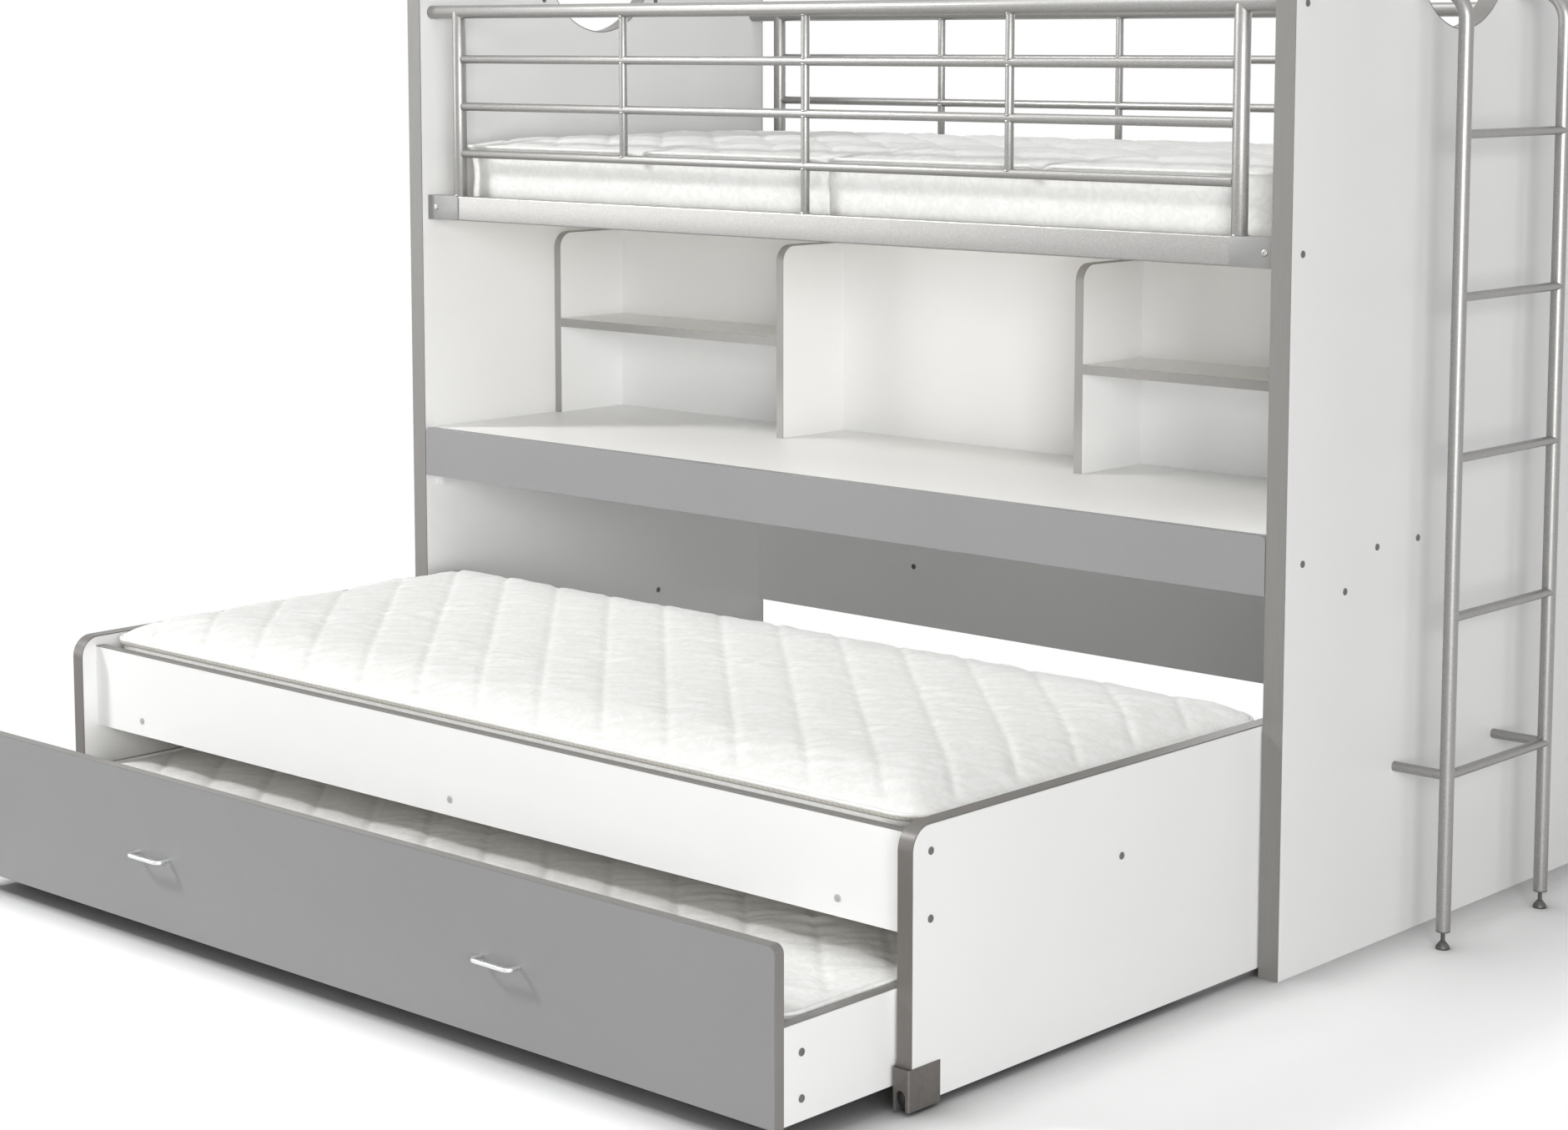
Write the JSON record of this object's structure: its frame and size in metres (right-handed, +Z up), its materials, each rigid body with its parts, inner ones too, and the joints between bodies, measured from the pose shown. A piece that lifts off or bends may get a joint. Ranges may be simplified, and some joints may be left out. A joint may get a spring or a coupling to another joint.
{
  "type": "loft bed",
  "caption": "Loft bed with guard tubes, side ladder, desk and shelves below, a lower bed that rolls out from under the desk and a trundle drawer in it.",
  "frame": {"origin": "middle of the footprint, on the floor, with the lower bed and the drawer pulled out as in the picture", "axes": "+Z up, +X along the beds towards the ladder, +Y from the front towards the back"},
  "size_m": [2.2696, 2.194, 1.83],
  "materials": {
    "white_melamine": "white melamine-faced board, satin",
    "grey_melamine": "grey melamine-faced board, satin",
    "grey_edging": "silver-grey edge band",
    "silver_lacquer": "silver-grey powder coat on steel tube",
    "slat_pine": "planed pine",
    "mattress_ticking": "white quilted ticking",
    "bracket_steel": "grey lacquered sheet steel",
    "axle_steel": "zinc-plated steel",
    "wheel_plastic": "black moulded plastic",
    "cap_plastic": "grey moulded plastic",
    "foot_steel": "grey lacquered steel",
    "handle_aluminium": "satin anodised"
  },
  "bodies": {
    "loft_frame": {"left_side_panel": "white_melamine", "right_side_panel": "white_melamine", "left_panel_edging": "grey_edging", "right_panel_edging": "grey_edging", "rear_stretcher": "white_melamine", "desk_top": "white_melamine", "desk_fascia": "grey_melamine", "desk_supports": "white_melamine", "desk_back_panel": "white_melamine", "inner_shelf_uprights": "white_melamine", "outer_shelf_uprights": "white_melamine", "left_shelf": "white_melamine", "right_shelf": "white_melamine", "shelf_edging": "grey_edging", "upper_front_rail": "silver_lacquer", "upper_rear_rail": "silver_lacquer", "upper_slat_ledges": "silver_lacquer", "upper_slats": "slat_pine", "upper_mattress": "mattress_ticking", "front_guard_bars": "silver_lacquer", "front_guard_posts": "silver_lacquer", "rear_guard_bars": "silver_lacquer", "rear_guard_posts": "silver_lacquer", "ladder_stiles": "silver_lacquer", "ladder_rungs": "silver_lacquer", "ladder_standoffs": "silver_lacquer", "ladder_feet": "foot_steel", "frame_screw_caps": "cap_plastic"},
    "lower_bed": {"bed_left_end": "white_melamine", "bed_right_end": "white_melamine", "bed_end_edging": "grey_edging", "bed_front_rail": "white_melamine", "bed_rear_rail": "white_melamine", "bed_rail_edging": "grey_edging", "bed_slat_bearers": "slat_pine", "bed_slats": "slat_pine", "lower_mattress": "mattress_ticking", "bed_wheel_brackets": "bracket_steel", "bed_wheel_axles": "axle_steel", "bed_screw_caps": "cap_plastic"},
    "trundle_drawer": {"drawer_front": "grey_melamine", "drawer_front_edging": "grey_edging", "drawer_left_side": "white_melamine", "drawer_right_side": "white_melamine", "drawer_side_edging": "grey_edging", "drawer_back": "white_melamine", "drawer_base": "white_melamine", "drawer_handles": "handle_aluminium", "drawer_mattress": "mattress_ticking", "drawer_wheel_forks": "bracket_steel", "drawer_wheel_axles": "axle_steel", "drawer_screw_caps": "cap_plastic"},
    "front_left_bed_wheel": {"bed_wheel_front_left": "wheel_plastic"},
    "front_right_bed_wheel": {"bed_wheel_front_right": "wheel_plastic"},
    "rear_left_bed_wheel": {"bed_wheel_rear_left": "wheel_plastic"},
    "rear_right_bed_wheel": {"bed_wheel_rear_right": "wheel_plastic"},
    "front_left_drawer_wheel": {"drawer_wheel_front_left": "wheel_plastic"},
    "front_right_drawer_wheel": {"drawer_wheel_front_right": "wheel_plastic"},
    "rear_left_drawer_wheel": {"drawer_wheel_rear_left": "wheel_plastic"},
    "rear_right_drawer_wheel": {"drawer_wheel_rear_right": "wheel_plastic"}
  },
  "joints": [
    {"name": "lower_bed_slide", "type": "slide", "parent": "loft_frame", "child": "lower_bed", "axis": [0, 1, 0], "range_m": [-0.1, 0.88]},
    {"name": "drawer_slide", "type": "slide", "parent": "lower_bed", "child": "trundle_drawer", "axis": [0, 1, 0], "range_m": [-0.6, 0.262]},
    {"name": "front_left_bed_wheel_spin", "type": "hinge", "parent": "lower_bed", "child": "front_left_bed_wheel", "pos_m": [-1.07475, -0.798, 0.022], "axis": [1, 0, 0], "continuous": true},
    {"name": "front_right_bed_wheel_spin", "type": "hinge", "parent": "lower_bed", "child": "front_right_bed_wheel", "pos_m": [0.96125, -0.798, 0.022], "axis": [1, 0, 0], "continuous": true},
    {"name": "rear_left_bed_wheel_spin", "type": "hinge", "parent": "lower_bed", "child": "rear_left_bed_wheel", "pos_m": [-1.07475, 0.169, 0.022], "axis": [1, 0, 0], "continuous": true},
    {"name": "rear_right_bed_wheel_spin", "type": "hinge", "parent": "lower_bed", "child": "rear_right_bed_wheel", "pos_m": [0.96125, 0.169, 0.022], "axis": [1, 0, 0], "continuous": true},
    {"name": "front_left_drawer_wheel_spin", "type": "hinge", "parent": "trundle_drawer", "child": "front_left_drawer_wheel", "pos_m": [-0.92575, -0.941, 0.018], "axis": [1, 0, 0], "continuous": true},
    {"name": "front_right_drawer_wheel_spin", "type": "hinge", "parent": "trundle_drawer", "child": "front_right_drawer_wheel", "pos_m": [0.81225, -0.941, 0.018], "axis": [1, 0, 0], "continuous": true},
    {"name": "rear_left_drawer_wheel_spin", "type": "hinge", "parent": "trundle_drawer", "child": "rear_left_drawer_wheel", "pos_m": [-0.92575, -0.247, 0.018], "axis": [1, 0, 0], "continuous": true},
    {"name": "rear_right_drawer_wheel_spin", "type": "hinge", "parent": "trundle_drawer", "child": "rear_right_drawer_wheel", "pos_m": [0.81225, -0.247, 0.018], "axis": [1, 0, 0], "continuous": true}
  ]
}
